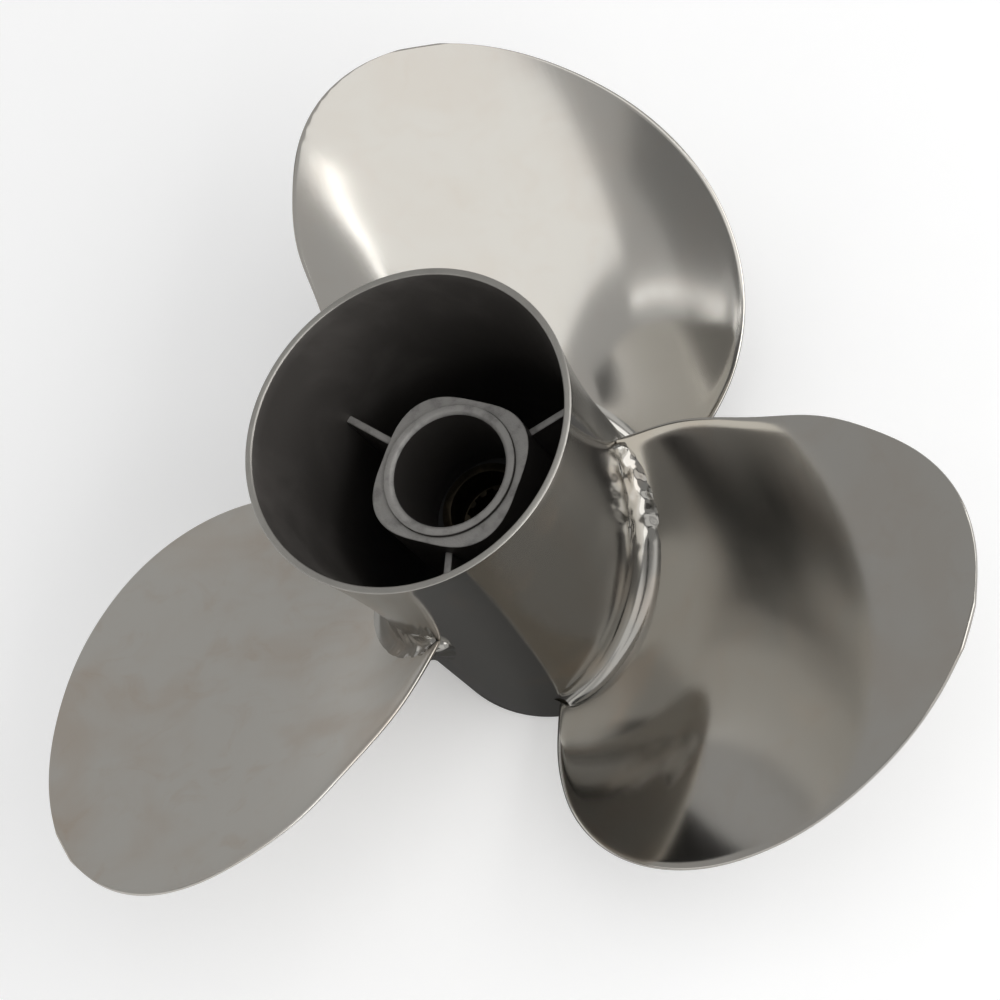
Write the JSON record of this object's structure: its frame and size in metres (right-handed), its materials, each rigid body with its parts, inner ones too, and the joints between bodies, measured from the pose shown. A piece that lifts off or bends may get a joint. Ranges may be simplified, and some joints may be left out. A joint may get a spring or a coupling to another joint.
{
  "type": "boat propeller",
  "caption": "Right-hand outboard propeller: swept blades welded to a flared exhaust barrel, with a ribbed inner hub and a rubber drive bush on a splined sleeve.",
  "frame": {"origin": "on the shaft axis, in the plane of the hub's fore end, on which the part stands", "axes": "+Z along the shaft axis, pointing aft (downstream); blade_1 stands 86 degrees from +X, turning towards +Y"},
  "size_m": [0.3227, 0.3176, 0.144],
  "materials": {
    "polished_barrel": "polished stainless, ground rim",
    "polished_blade": "buffed stainless, hazy in places",
    "cast_core": "as-cast stainless, matte",
    "weld_run": "ground and polished weld",
    "bush_rubber": "moulded rubber, matte",
    "sleeve_brass": "machined brass"
  },
  "bodies": {
    "drive_sleeve": {"splined_sleeve": "sleeve_brass"},
    "propeller": {"exhaust_barrel": "polished_barrel", "inner_hub": "cast_core", "rib_1": "cast_core", "rib_2": "cast_core", "rib_3": "cast_core", "blade_1": "polished_blade", "blade_2": "polished_blade", "blade_3": "polished_blade", "weld_aft_1": "weld_run", "weld_aft_2": "weld_run", "weld_aft_3": "weld_run", "weld_fore_1": "weld_run", "weld_fore_2": "weld_run", "weld_fore_3": "weld_run", "rubber_bush": "bush_rubber"}
  },
  "joints": [
    {"name": "hub_windup", "type": "hinge", "parent": "drive_sleeve", "child": "propeller", "pos_m": [0, 0, 0.041], "axis": [0, 0, 1], "range_deg": [-10, 10], "stiffness_Nm_per_rad": 400}
  ]
}
